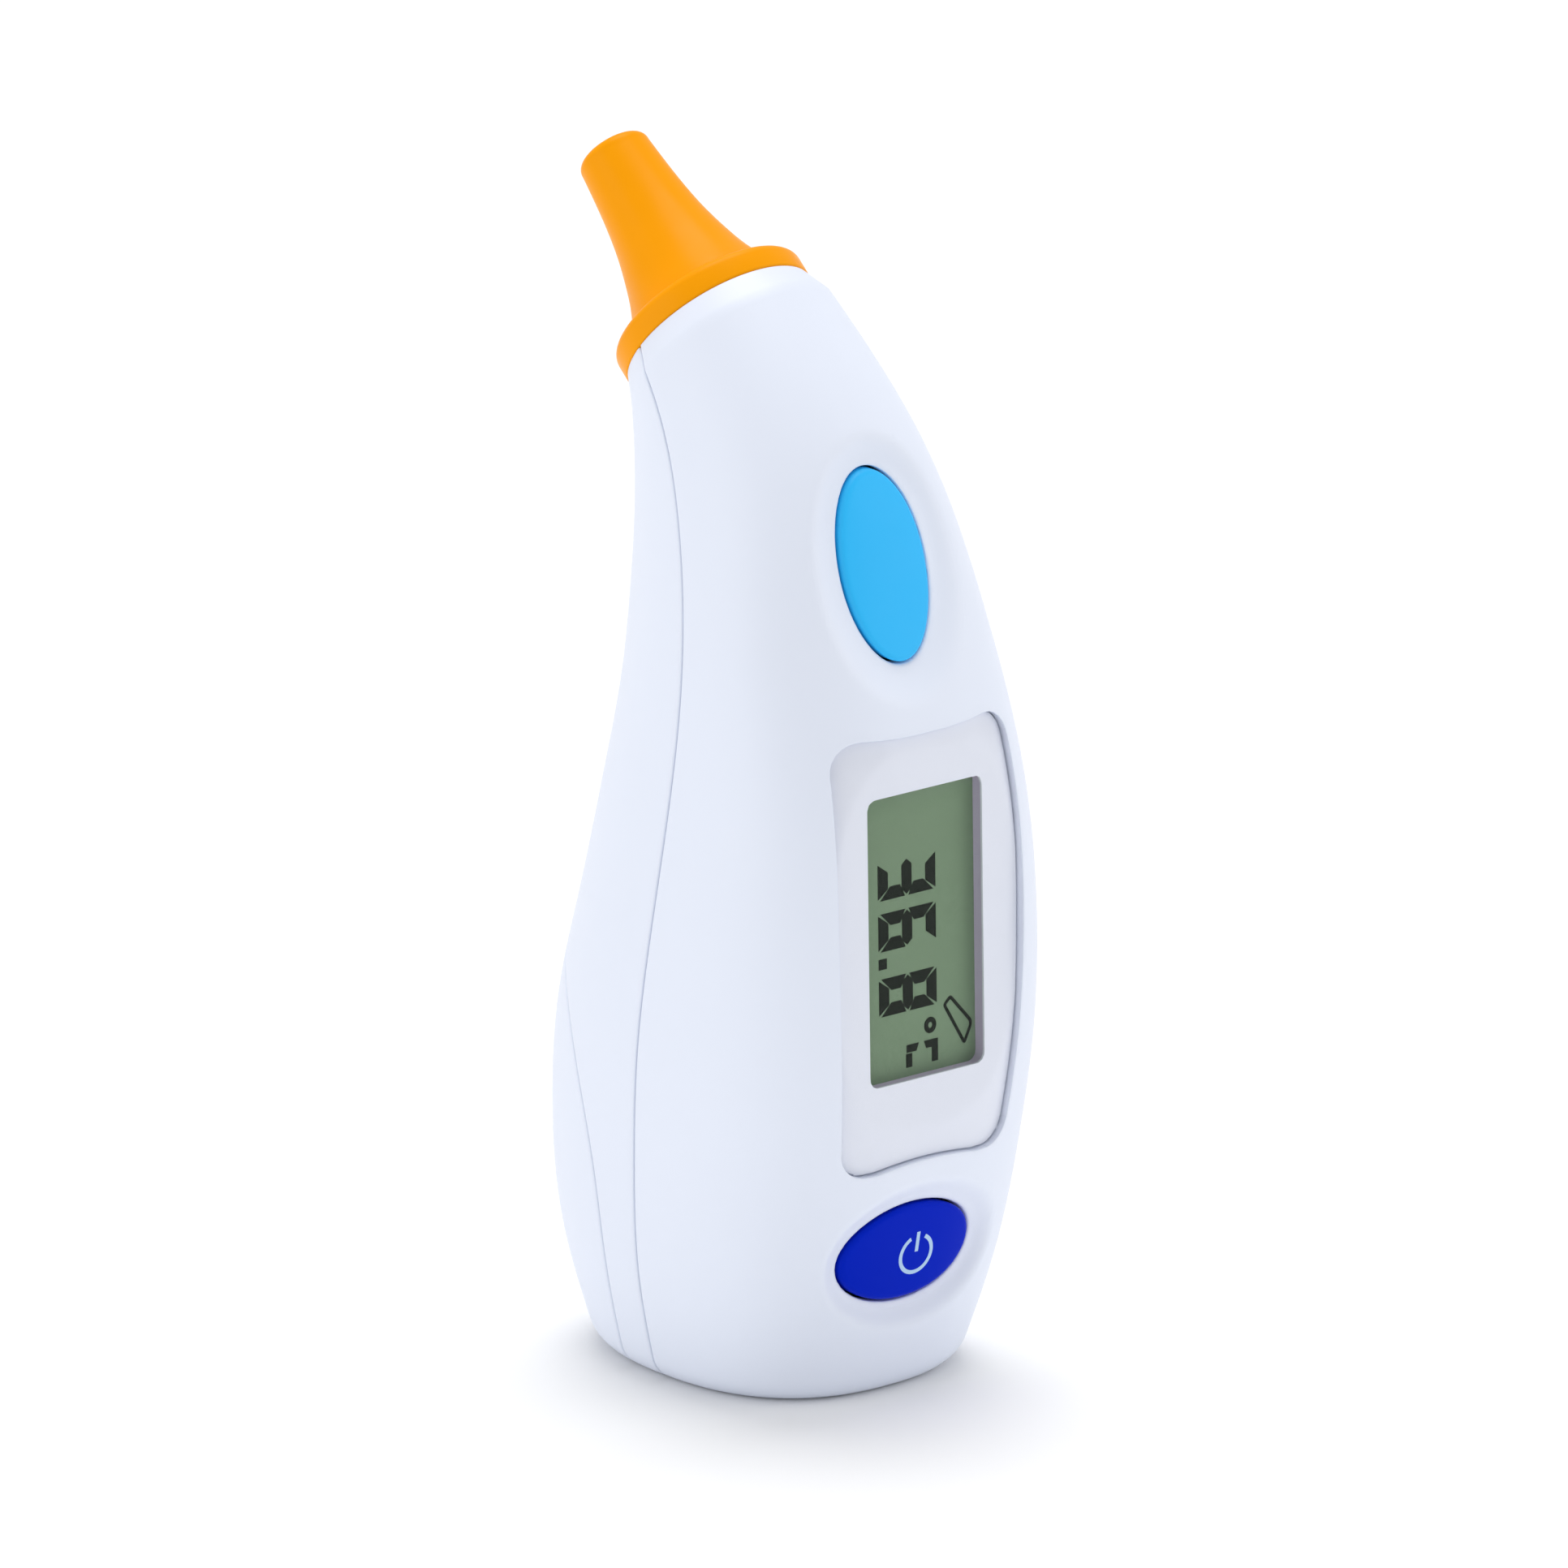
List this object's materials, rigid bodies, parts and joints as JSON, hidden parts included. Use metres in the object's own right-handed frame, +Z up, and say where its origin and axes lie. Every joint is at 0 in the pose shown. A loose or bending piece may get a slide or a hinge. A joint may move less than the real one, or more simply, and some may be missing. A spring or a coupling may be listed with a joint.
{
  "type": "digital ear thermometer",
  "caption": "Upright ear thermometer with a curved two-part shell, tilted probe cone, clear display window, oval scan and power buttons and a pull-off battery cover.",
  "frame": {"origin": "centre of the flat standing base, on the symmetry plane", "axes": "+Z up along the standing height; the display and the buttons face -Y and the probe leans back towards +Y; +X is to the right seen from the front"},
  "size_m": [0.048, 0.0629, 0.1433],
  "materials": {
    "white_shell": "semi-gloss moulded ABS",
    "clear_lens": "clear acrylic window",
    "printed_mask": "light grey print behind the window",
    "orange_plastic": "satin orange moulded plastic",
    "light_blue_button": "satin light blue",
    "dark_blue_button": "satin dark blue",
    "pale_blue_inlay": "printed pale blue",
    "inner_plastic": "moulded, lavender grey",
    "lcd_glass": "thin clear glass",
    "polarizer_film": "neutral film",
    "lcd_green": "grey-green reflector",
    "grey_rubber": "matt rubber",
    "foam": "closed-cell foam",
    "circuit_board": "green solder mask on glass fibre",
    "chip_plastic": "black moulded package",
    "switch_plunger": "moulded",
    "connector_plastic": "natural nylon",
    "ceramic_part": "fired ceramic",
    "brass_disc": "rolled brass",
    "steel": "zinc plated",
    "nickel_contact": "nickel plated spring steel",
    "cell_jacket": "plain printed sleeve on a steel can",
    "wire_jacket": "PVC insulation",
    "sleeve_metal": "machined",
    "gold_tube": "gold plated inside",
    "window_film": "infrared window"
  },
  "bodies": {
    "root": {"front_housing": "white_shell", "rear_housing": "white_shell", "housing_screws": "steel", "display_lens": "clear_lens", "display_mask": "printed_mask", "lcd_holder": "inner_plastic", "lcd_front_polarizer": "polarizer_film", "lcd_front_glass": "lcd_glass", "lcd_rear_glass": "lcd_glass", "lcd_reflector": "lcd_green", "zebra_strips": "grey_rubber", "main_board": "circuit_board", "board_screws": "steel", "scan_switch_body": "chip_plastic", "power_switch_body": "chip_plastic", "microcontroller": "chip_plastic", "sensor_amplifier": "chip_plastic", "crystal": "steel", "capacitors": "ceramic_part", "sensor_connector": "connector_plastic", "buzzer": "brass_disc", "battery_left": "cell_jacket", "battery_right": "cell_jacket", "battery_tray": "inner_plastic", "battery_negative_contact": "nickel_contact", "battery_positive_contact": "nickel_contact", "battery_bridge_contact": "nickel_contact", "battery_wires": "wire_jacket", "probe_nose": "orange_plastic", "probe_seal_ring": "grey_rubber", "probe_window": "window_film", "probe_mount": "inner_plastic", "nose_screws": "steel", "sensor_sleeve": "sleeve_metal", "wave_guide": "gold_tube", "thermopile_can": "steel", "thermopile_filter": "window_film", "thermopile_leads": "steel", "sensor_retainer": "inner_plastic", "sensor_wires": "wire_jacket"},
    "scan_button": {"scan_button_cap": "light_blue_button", "scan_switch_plunger": "switch_plunger"},
    "power_button": {"power_button_cap": "dark_blue_button", "power_icon_inlay": "pale_blue_inlay", "power_switch_plunger": "switch_plunger"},
    "cover": {"battery_cover": "white_shell", "battery_cover_pad": "foam"}
  },
  "joints": [
    {"name": "scan_button_press", "type": "slide", "parent": "root", "child": "scan_button", "axis": [0, 1, 0], "range_m": [0, 0.0006], "stiffness_N_per_m": 1200, "springref_m": -0.0005},
    {"name": "power_button_press", "type": "slide", "parent": "root", "child": "power_button", "axis": [0, 1, 0], "range_m": [0, 0.0006], "stiffness_N_per_m": 1200, "springref_m": -0.0005},
    {"name": "battery_cover_pull", "type": "slide", "parent": "root", "child": "cover", "axis": [0, 1, 0], "range_m": [0, 0.035]}
  ]
}
